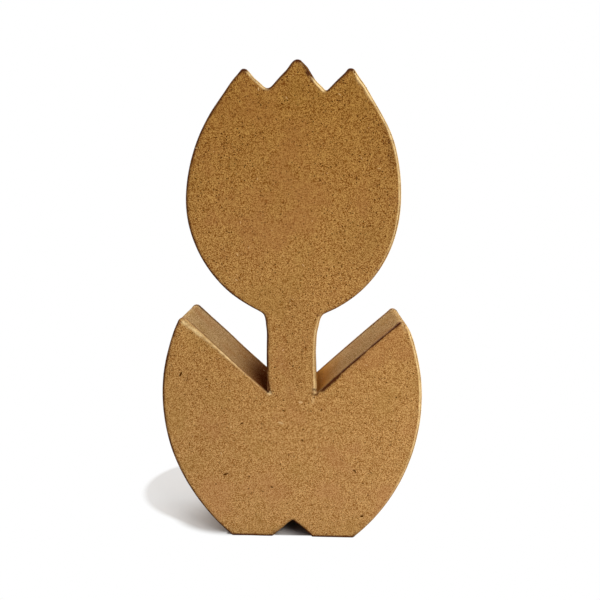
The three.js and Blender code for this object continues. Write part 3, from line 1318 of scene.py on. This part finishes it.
    def _path(self, name: str, lap: float) -> bpy.types.Mesh:
        """The points that a strip follows, with what its tree reads at each.

        Args:
            name: the strip's name.
            lap: how far its tongues reach past its ends, or 0 for a tucked strip.

        Returns:
            The points as a mesh.
        """
        order, past = self.straight.run_of(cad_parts[f"{name}_strip"], lap)
        flat = self.line.points[order]
        inward = self.line.inward[order]
        level = np.zeros(len(flat))
        points = np.column_stack([flat[:, 0], level, flat[:, 1]])
        ahead = np.gradient(points, axis=0)
        torn, stain_and_shade, amber_bounce_light = np.zeros((3, len(flat)))
        # Paste and painted shade towards the crotches, and painted amber bounce light around them.
        for soak_and_shade in self.soaks_and_shades:
            near = fading(np.linalg.norm(flat - soak_and_shade.at, axis=1), soak_and_shade.reach)
            stain_and_shade += soak_and_shade.dark * near
            amber_bounce_light += soak_and_shade.amber_bounce_light * near
        if lap:
            torn[[0, -1]] = 1
            torn[[1, -2]] = 0.5
        mesh = mesh_from(name, points, [], [(i, i + 1) for i in range(len(points) - 1)])
        for attribute, values in {
            "inward": np.column_stack([inward[:, 0], level, inward[:, 1]]),
            "ahead": ahead / np.linalg.norm(ahead, axis=1, keepdims=True),
            "tongue": (past > self.tongue_from).astype(float),
            "torn": torn,
            "stain_and_shade": stain_and_shade,
            "amber_bounce_light": amber_bounce_light,
        }.items():
            set_attribute(mesh, attribute, values)
        return mesh

    def build(self) -> list[bpy.types.Object]:
        """Makes the eight strips.

        Returns:
            The pieces.
        """
        sizes = {
            "half width": self.half_width * MM,
            "Tongue half width": self.tongue_half_width * MM,
            "lift": self.lift * MM,
            "Tongue lift": self.tongue_lift * MM,
            "bottom": self.bottom * MM,
            "Tongue bottom": self.tongue_bottom * MM,
            "relief": self.relief * MM,
            "tear": self.tear * MM,
        }
        tree = self._shaper(list(sizes))
        rows = 2 + round(2 * self.half_width / self.row_height)
        pieces = []
        for number, name in enumerate(self.wrapping + self.tucked, start=1):
            path = self._path(name, self.lap if name in self.wrapping else 0.0)
            values = sizes | {"Points": len(path.vertices), "Rows": rows, "Seed": 11.0 * number}
            # The leaf-top and stem-side strips take the paler paper with its painted sheen.
            values["Material"] = self.painted_sheen_paper if name.endswith("nook") else self.material
            mesh = tree.run(path, values)
            outward(mesh)
            piece = place_piece(f"{name}_strip_paper", mesh, [f"{name}_strip"])
            pieces.append(piece)
        return pieces


# Chips and straws


@dataclass(frozen=True)
class SliverKind:
    """One kind of sliver: how many to a square millimetre, how long, how slim, and how pale."""

    name: str
    density: float
    longest: float
    slimmest: float
    pale: bool
    shortest: float = 0.35
    spread: float = 0.9
    plumper: float = 0.3
    thickness: float = 0.13


@dataclass(frozen=True)
class Chip:
    """A sliver that shows plainly on the front: its place, size and slant in degrees."""

    at: Flat
    length: float
    width: float
    slant: float
    pale: bool = False


@dataclass
class Splinters:
    """Slivers that lie in the paper's surface: dark wood chips and pale straws.

    A plain one is laid longer and wider than it shows, because the paper covers its border.
    """

    seed: int
    plain_length: float = 1.3
    plain_width: float = 1.2
    plain_thickness: float = 0.3
    random: np.random.Generator = field(init=False)
    tree: Shaper = field(init=False)

    def __post_init__(self) -> None:
        """Starts the random numbers, and the shape that every sliver is a copy of."""
        self.random = np.random.default_rng(self.seed)
        self.tree = tree = Shaper("slivers")
        material = tree.input("Material", "Material")
        ball = tree.add("GeometryNodeMeshIcoSphere", None, {"Radius": 0.5, "Subdivisions": 1})
        settings = {"primary_axis": "Z", "secondary_axis": "X"}
        axes = {"Primary Axis": tree.stored("facing"), "Secondary Axis": tree.stored("along")}
        values = {
            "Points": tree.carrier,
            "Instance": ball,
            "Rotation": tree.add("FunctionNodeAxesToRotation", settings, axes),
            "Scale": tree.stored("size"),
        }
        tree.finish(tree.add("GeometryNodeInstanceOnPoints", None, values), material)

    def scatter(self, sheet: bpy.types.Object, density: float) -> tuple[np.ndarray, np.ndarray]:
        """Picks random places on the shown side of a sheet.

        Args:
            sheet: the piece.
            density: how many places to a square millimetre of one side.

        Returns:
            The places in millimetres, and the sheet's normal at each.
        """
        mesh = sheet.data
        count = round(sum(p.area for p in mesh.polygons) / MM**2 / 2 * density)
        shown = np.empty(len(mesh.vertices), np.float32)
        mesh.attributes["shown"].data.foreach_get("value", shown)
        corners = corners_of(mesh)
        corners = corners[shown[corners].min(axis=1) > 0.5]
        a, b, c = places_of(mesh)[corners.T]
        across = np.cross(b - a, c - a)
        area = np.linalg.norm(across, axis=1)
        chosen = self.random.choice(len(area), count, p=area / area.sum())
        u, v = self.random.random((2, count, 1))
        u, v = np.where(u + v > 1, 1 - u, u), np.where(u + v > 1, 1 - v, v)
        places = a[chosen] + u * (b - a)[chosen] + v * (c - a)[chosen]
        return places, (across / area[:, None])[chosen]

    def lay(
        self,
        kind: SliverKind,
        sheets: Sequence[bpy.types.Object],
        plain: Sequence[Chip],
        material: bpy.types.Material,
    ) -> bpy.types.Object:
        """Lays slivers of one kind in the sheets, and plain ones on the front.

        Args:
            kind: the kind.
            sheets: the covers and strips, the front cover first.
            plain: the plain ones.
            material: their material.

        Returns:
            The piece.
        """
        places, facing = map(np.concatenate, zip(*(self.scatter(s, kind.density) for s in sheets)))
        along = self.random.normal(size=places.shape)
        growth = kind.shortest + kind.spread * self.random.random(len(places)) ** 3
        length = kind.longest * growth
        slim = length * (self.random.random(len(places)) * kind.plumper + kind.slimmest)
        size = np.column_stack([length, slim, np.full(len(places), kind.thickness)])
        front = places_of(sheets[0].data)
        front = front[front[:, 1] < -HALF_DEPTH + SHEET]
        for chip in (c for c in plain if c.pale == kind.pale):
            slant = math.radians(chip.slant)
            nearest = np.linalg.norm(front[:, [0, 2]] - chip.at, axis=1).argmin()
            length, width = self.plain_length * chip.length, self.plain_width * chip.width
            places = np.vstack([places, front[nearest]])
            facing = np.vstack([facing, (0.0, -1.0, 0.0)])
            along = np.vstack([along, (math.cos(slant), 0.0, math.sin(slant))])
            size = np.vstack([size, (length, width, self.plain_thickness)])
        name = f"{kind.name}s_in_paper"
        carrier = mesh_from(name, places, [])
        for attribute, values in {"facing": facing, "along": along, "size": size * MM}.items():
            set_attribute(carrier, attribute, values)
        return place_piece(name, self.tree.run(carrier, {"Material": material}), ())


# The card form


@dataclass
class CardForm:
    """The boards and walls inside, which lean as the paper on them does."""

    hand: HandWork
    finishes: Mapping[str, bpy.types.Material]
    slots: Mapping[str, str] = field(default_factory=lambda: {"board": "greyboard", "wall": "wall_card"})
    step: float = 2.5

    def build(self) -> list[bpy.types.Object]:
        """Makes a piece for every board and wall, with points at every step of height for the lean.

        Returns:
            The pieces.
        """
        pieces = []
        for name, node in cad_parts.items():
            kind = name.rsplit("_", 1)[-1]
            if kind not in self.finishes:
                continue
            shape = bmesh.new()
            shape.from_mesh(node.data)
            bmesh.ops.remove_doubles(shape, verts=shape.verts, dist=1e-7)
            for height in np.arange(self.step, cad_box[1].z / MM, self.step):
                bmesh.ops.bisect_plane(
                    shape,
                    geom=[*shape.verts, *shape.edges, *shape.faces],
                    plane_co=(0, 0, height * MM),
                    plane_no=(0, 0, 1),
                )
            mesh = bpy.data.meshes.new(name)
            shape.to_mesh(mesh)
            shape.free()
            at = places_of(mesh)
            at[:, [0, 2]] = self.hand.moved(at[:, [0, 2]])
            mesh.vertices.foreach_set("co", (at * MM).ravel())
            mesh.materials.clear()
            mesh.materials.append(self.finishes[kind])
            pieces.append(place_piece(f"{name}_card", mesh, [name]))
        return pieces


# Studio


@dataclass(frozen=True)
class Lamp:
    """A soft square lamp that faces the object.

    Its power is in watts and its directions are in degrees: from the front towards the viewer's
    right, and above the horizon. Its distance and its side are in metres.
    """

    name: str
    power: float
    azimuth: float
    elevation: float
    distance: float
    side: float
    aim: Place = (0.0, 0.0, 0.09)

    def build(self) -> None:
        """Adds the lamp."""
        data = bpy.data.lights.new(self.name, "AREA")
        data.energy = self.power
        data.size = self.side
        lamp = bpy.data.objects.new(self.name, data)
        a, e = math.radians(self.azimuth), math.radians(self.elevation)
        away = Vector((math.sin(a) * math.cos(e), -math.cos(a) * math.cos(e), math.sin(e)))
        lamp.location = Vector(self.aim) + away * self.distance
        lamp.rotation_euler = away.to_track_quat("Z", "Y").to_euler()
        bpy.context.scene.collection.objects.link(lamp)


@dataclass(frozen=True)
class ShadowRound:
    """A round of the floor that keeps its shadow: its centre, its radius and its soft border."""

    centre: Flat
    radius: float
    fade: float


@dataclass
class Studio:
    """The pale floor, the soft light and the camera.

    The floor is white to the camera except in the object's shadow, which it keeps inside the
    rounds and behind a line. It is darker where the object hides it from the light.
    """

    eye: Place = (8.523, -335.936, 148.538)
    yaw: float = -1.021
    pitch: float = 8.131
    roll: float = 0.742
    focal_pixels: float = 772.788
    frame_pixels: float = 600.0
    sensor: float = 36.0
    ambient: float = 0.34
    ambient_colour: Colour = (1.0, 0.985, 0.96)
    lamps: tuple[Lamp, ...] = (
        Lamp("key", 3.45, 24, 34, 0.9, 0.35),
        Lamp("top", 1.0, 180, 88, 0.6, 0.35),
        Lamp("side", 1.3, 100, 12, 0.6, 0.35),
        Lamp("bounce", 0.22, 55, -8, 0.3, 0.2),
        Lamp("back", 6.5, 180, 40, 0.8, 0.8),
        Lamp("fill", 1.6, -30, 45, 0.9, 0.6),
    )
    floor_reach: float = 4000.0
    floor_colour: Colour = (0.60, 0.595, 0.59)
    painted_shadow_colour: Colour = (0.14, 0.12, 0.12)
    foot_box: Flat = (27.0, 18.0)
    rounds: tuple[ShadowRound, ...] = (
        ShadowRound((-30.2, 33.7), 43.4, 2.5),
        ShadowRound((-27.0, 10.0), 28.0, 3.5),
    )
    line_at: Flat = (-45.5, -12.4)
    line_facing: Flat = (-0.6, -0.8)
    line_fade: Range = (-2.5, 3.0)
    contact_fade: Range = (0.0, 1.2)
    whitening: tuple[float, float, float, float] = (0.0, 26.0, 0.05, 0.12)
    hidden_facing: Flat = (0.8, 0.6)
    hidden_from: Range = (-3.2, 4.8)
    hidden_near: tuple[float, float, float, float] = (0.0, 0.6, 0.9, 0.0)

    def camera(self) -> None:
        """Sets the camera where the photograph was taken from."""
        yaw, pitch, roll = (math.radians(a) for a in (self.yaw, self.pitch, self.roll))
        level = Vector((math.cos(yaw), -math.sin(yaw), 0.0))
        ahead = Vector((math.sin(yaw), math.cos(yaw), 0.0)) * math.cos(pitch)
        ahead.z = -math.sin(pitch)
        upright = level.cross(ahead)
        right = level * math.cos(roll) + upright * math.sin(roll)
        up = upright * math.cos(roll) - level * math.sin(roll)
        data = bpy.data.cameras.new("camera")
        data.sensor_width = self.sensor
        data.lens = self.focal_pixels / self.frame_pixels * data.sensor_width
        data.clip_start = 0.01
        camera = bpy.data.objects.new("camera", data)
        turn = Matrix((right, up, -ahead)).transposed().to_4x4()
        camera.matrix_world = Matrix.Translation(Vector(self.eye) * MM) @ turn
        bpy.context.scene.collection.objects.link(camera)
        bpy.context.scene.camera = camera

    @staticmethod
    def _backdrop_rays(tree: Nodes) -> Signal:
        """1 for the rays that see the backdrop: the camera's, glossy and transmitted ones."""
        path = tree.make("ShaderNodeLightPath")
        kinds = ("Camera", "Glossy", "Transmission")
        camera, glossy, through = (Signal(tree, path.outputs[f"Is {kind} Ray"]) for kind in kinds)
        return camera | glossy | through

    def world(self) -> None:
        """A white backdrop that lights the object only gently."""
        world = bpy.data.worlds.new("studio")
        bpy.context.scene.world = world
        world.use_nodes = True
        world.node_tree.nodes.clear()
        tree = Nodes(world.node_tree)
        dim, white = (
            tree.add("ShaderNodeBackground", None, {"Color": (*colour, 1.0), "Strength": strength})
            for colour, strength in ((self.ambient_colour, self.ambient), ((1.0, 1.0, 1.0), 1.0))
        )
        values = {0: self._backdrop_rays(tree), 1: dim, 2: white}
        seen = tree.add("ShaderNodeMixShader", None, values)
        tree.make("ShaderNodeOutputWorld", None, {"Surface": seen})

    def _whiteness(self, paint: Paint, x: Signal, y: Signal, near: Signal) -> Signal:
        """How much of the floor is white to the camera: less of it in the object's shadow.

        Args:
            paint: the floor's tree.
            x: a place's X.
            y: its Y.
            near: its distance from the feet.

        Returns:
            The share of white.
        """
        white: Operand = 1.0
        for kept in self.rounds:
            shifted = paint.place - (*kept.centre, 0.0)
            away = paint.add("ShaderNodeVectorMath", {"operation": "LENGTH"}, {0: shifted}, out=1)
            white = white * away.between(kept.radius - kept.fade, kept.radius + kept.fade)
        (line_x, line_y), (facing_x, facing_y) = self.line_at, self.line_facing
        ahead = (x - line_x) * facing_x + (y - line_y) * facing_y
        white = white | ahead.between(*self.line_fade) | near.between(*self.whitening)
        return self._backdrop_rays(paint) * near.between(*self.contact_fade) * white

    def floor(self) -> None:
        """A white floor that keeps the shadow near the object."""
        tiny = 0.0001
        paint = Paint("floor")
        x, y, _ = paint.split(paint.place)
        past = [((at**2 + tiny) ** 0.5 - half) | 0.0 for at, half in zip((x, y), self.foot_box)]
        near = (past[0] ** 2 + past[1] ** 2 + tiny) ** 0.5
        matte, painted_shadow = (
            paint.add("ShaderNodeBsdfDiffuse", None, {"Color": (*colour, 1.0)})
            for colour in (self.floor_colour, self.painted_shadow_colour)
        )
        white = paint.add("ShaderNodeEmission", None, {"Color": (1.0, 1.0, 1.0, 1.0), "Strength": 1.0})
        # Painted shadow: the floor takes a dark colour where the object hides it from the light.
        behind = x * self.hidden_facing[0] + (y + self.foot_box[1]) * self.hidden_facing[1]
        painted_shadow_share = behind.between(*self.hidden_from) * near.between(*self.hidden_near)
        matte = paint.add("ShaderNodeMixShader", None, {0: painted_shadow_share, 1: matte, 2: painted_shadow})
        values = {0: self._whiteness(paint, x, y, near), 1: matte, 2: white}
        seen = paint.add("ShaderNodeMixShader", None, values)
        paint.make("ShaderNodeOutputMaterial", None, {"Surface": seen})
        corners = np.array([(-1, -1, 0), (1, -1, 0), (1, 1, 0), (-1, 1, 0)]) * self.floor_reach
        mesh = mesh_from("floor", corners, [(0, 1, 2, 3)])
        mesh.materials.append(paint.material)
        floor = bpy.data.objects.new("floor", mesh)
        bpy.context.scene.collection.objects.link(floor)

    def build(self) -> None:
        """Sets up the whole studio."""
        bpy.context.scene.view_settings.view_transform = "Standard"
        self.camera()
        self.world()
        self.floor()
        for lamp in self.lamps:
            lamp.build()


# What this tulip shows


LEFT_RIDGE = (
    (-45.7, 93.4),
    (-38.6, 88.0),
    (-29.4, 80.9),
    (-19.8, 73.0),
    (-12.6, 67.1),
    (-9.4, 63.6),
)
RIGHT_SEAM = (
    (12.6, 64.6),
    (18.0, 70.3),
    (24.1, 76.4),
    (30.2, 82.4),
    (36.3, 87.8),
    (41.1, 92.0),
    (44.4, 94.4),
)
STEM_RIDGE = ((9.5, 91.0), (9.2, 78.2), (9.2, 69.6), (8.9, 59.7))
FOLDS = (
    Trace(LEFT_RIDGE[3:], 0.7, 0.30),
    Trace(LEFT_RIDGE[:4], 0.7, 0.16, 0.5),
    Trace(STEM_RIDGE[2:], 0.6, 0.22),
    Trace(((-10.1, 67.6), (-9.6, 65.6), (-8.7, 63.7)), 0.5, -0.16),
    Trace(((9.1, 66.6), (12.8, 66.0)), 0.45, -0.14),
    Trace(((9.3, 65.6), (12.4, 65.2)), 0.4, 0.14),
    Trace(((9.3, 64.8), (12.2, 64.4)), 0.45, -0.14),
    Trace(((9.7, 63.3), (11.8, 63.4)), 0.45, -0.10),
    Trace(((2.4, 197.2), (4.2, 194.8), (5.8, 192.4)), 0.6, -0.12, 0.7),
    Trace(RIGHT_SEAM, 0.5, -0.12, 0.6),
)
STAINS_AND_SHADE = (
    Trace(RIGHT_SEAM, 0.60, 1.5, 0.5),
    Trace(((42.6, 92.6), (44.4, 94.4)), 0.6, 0.8, 0.4),
    Trace(((33.2, 85.0), (37.2, 88.2)), 0.6, 1.2, 0.4),
    Trace(((25.6, 77.4), (29.6, 81.0)), 0.8, 0.8, 0.4),
    Trace(((13.2, 65.4), (20.0, 71.6)), 0.6, 0.5, 0.3),
    Trace(((0.0, 200.4), (2.4, 199.2), (7.0, 193.4)), 0.75, 3.0, 0.3),
    Trace(((4.4, 194.4), (6.4, 191.6)), 0.7, 1.0, 0.8),
    # Painted shade in the left crotch.
    Trace(((-10.2, 67.8), (-9.7, 65.6), (-8.7, 63.7)), 0.6, 1.3, 0.3),
    Trace(((8.9, 65.6), (10.4, 65.2)), 0.5, 0.9, 0.3),
    Trace(((8.7, 63.6), (10.6, 63.2)), 0.5, 0.9, 0.3),
    Trace(((36.0, 173.5), (38.4, 165.0), (39.8, 158.5)), 1.3, 0.28, 0.6),
    # Broad faint painted shade on the head's right, down the stem and on the left leaf.
    Trace(((31.0, 182.0), (36.5, 165.0), (37.0, 145.0), (30.0, 124.0)), 9.0, 0.08),
    Trace(((0.0, 96.0), (0.0, 68.0)), 9.0, 0.08),
    Trace(((-40.0, 66.0), (-36.0, 40.0)), 18.0, 0.07),
    Trace(((-21.0, 195.6), (-20.0, 195.4)), 1.0, 1.2),
    Trace(((21.0, 196.6), (22.2, 196.2)), 1.1, 1.2),
    Trace(((0.2, 199.9), (1.8, 199.6)), 1.0, 1.1),
)
# Pale wear with painted highlights where ridges and slopes face up and to the right, towards the light.
WEAR_AND_HIGHLIGHTS = (
    Trace(LEFT_RIDGE[2:], 0.7, 1.9, 0.4),
    Trace(LEFT_RIDGE[:3], 0.7, 1.0, 0.7),
    Trace(LEFT_RIDGE[:2], 1.4, 0.15, 0.6),
    Trace(STEM_RIDGE, 0.45, 0.35, 0.6),
    Trace(((-18.6, 194.2), (-15.7, 191.4), (-13.0, 188.7), (-10.9, 188.0)), 0.5, 0.5, 0.4),
    Trace(((6.8, 192.3), (9.0, 189.8), (11.2, 187.7)), 0.6, 1.0, 0.5),
    Trace(((24.6, 192.6), (27.6, 188.6), (30.6, 184.0)), 0.6, 0.8, 0.5),
    Trace(((44.9, 95.0), (46.8, 90.8)), 0.6, 0.5, 0.4),
)
MAIN_TRACES = 3
SLIVERS = (SliverKind("chip", 0.050, 0.8, 0.4, False), SliverKind("straw", 0.006, 1.3, 0.12, True))
PLAIN_CHIPS = (
    Chip((-46.9, 71.2), 2.1, 0.8, 62.0),
    Chip((-27.8, 27.8), 2.2, 0.75, 20.0),
    Chip((-21.2, 50.0), 1.3, 0.6, 28.0),
    Chip((4.8, 43.2), 1.2, 0.6, -20.0),
    Chip((26.8, 30.4), 1.4, 0.5, -25.0),
    Chip((30.7, 9.7), 1.4, 0.9, 10.0),
    Chip((0.3, 75.5), 1.0, 0.5, 40.0),
    Chip((-3.7, 56.2), 1.0, 0.5, -10.0),
    Chip((12.5, 56.6), 1.2, 0.5, 75.0),
    Chip((-8.0, 22.0), 1.0, 0.7, 0.0),
    Chip((-4.6, 51.0), 2.3, 0.8, -15.0, pale=True),
    Chip((3.6, 60.0), 1.6, 0.9, 5.0, pale=True),
)
FACE_PAPER = KraftFinish("kraft_sheet")
STRIP_PAPER = KraftFinish(
    "kraft_strip",
    light=(0.71, 0.45, 0.19),
    dark=(0.26, 0.095, 0.016),
    # The dark colour serves paste and painted shade in the crotches; the amber one is painted bounce
    # light.
    paste_and_shade=(0.085, 0.012, 0.0006),
    wear_and_light=(0.62, 0.29, 0.05),
    gloss=0.0,
    flecked=0.25,
    rough=(0.78, 0.88),
    bump=0.25,
    start=(50.0, 20.0, 10.0),
)
# Paler paper for the strips on the leaf tops and stem sides: a painted sheen for the light they catch at
# a grazing angle.
LEAF_TOP_PAPER = replace(
    STRIP_PAPER, name="kraft_leaf_top_painted_sheen", light=(0.77, 0.57, 0.33), dark=(0.30, 0.15, 0.044)
)
CHIP_FINISHES = {
    "chip": ChipFinish("wood_chip", (0.11, 0.036, 0.006), (0.05, 0.015, 0.002)),
    "straw": ChipFinish("straw_chip", (0.64, 0.43, 0.20), (0.50, 0.30, 0.12)),
}
CARD_FINISHES = {
    "board": CardFinish("greyboard", (0.40, 0.37, 0.31), (0.25, 0.225, 0.18)),
    "wall": CardFinish("wall_card", (0.44, 0.33, 0.22), (0.30, 0.21, 0.13)),
}


def main() -> None:
    """Builds the paper tulip and its studio."""
    logging.basicConfig(level=logging.INFO, format="%(message)s")
    Studio().build()
    hand = HandWork()
    straight = CutLine.of(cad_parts["front_cover"], step=0.6)
    line = straight.leaning(hand)
    log.info("cut line: %d points, %.1f mm long", len(line.points), line.total)
    sheet, strip, painted_sheen_paper = (p.material() for p in (FACE_PAPER, STRIP_PAPER, LEAF_TOP_PAPER))
    handling = Handling(FOLDS, STAINS_AND_SHADE, WEAR_AND_HIGHLIGHTS)
    sheets = [
        FaceCover(line, Side.FRONT, sheet, handling).build(),
        FaceCover(line, Side.BACK, sheet, handling.behind(MAIN_TRACES), seed=41.0).build(),
        *WallStrips(straight, line, strip, painted_sheen_paper).build(),
    ]
    splinters = Splinters(seed=7)
    for kind in SLIVERS:
        splinters.lay(kind, sheets, PLAIN_CHIPS, CHIP_FINISHES[kind.name].material())
    CardForm(hand, {kind: finish.material() for kind, finish in CARD_FINISHES.items()}).build()


if __name__ == "__main__":
    main()
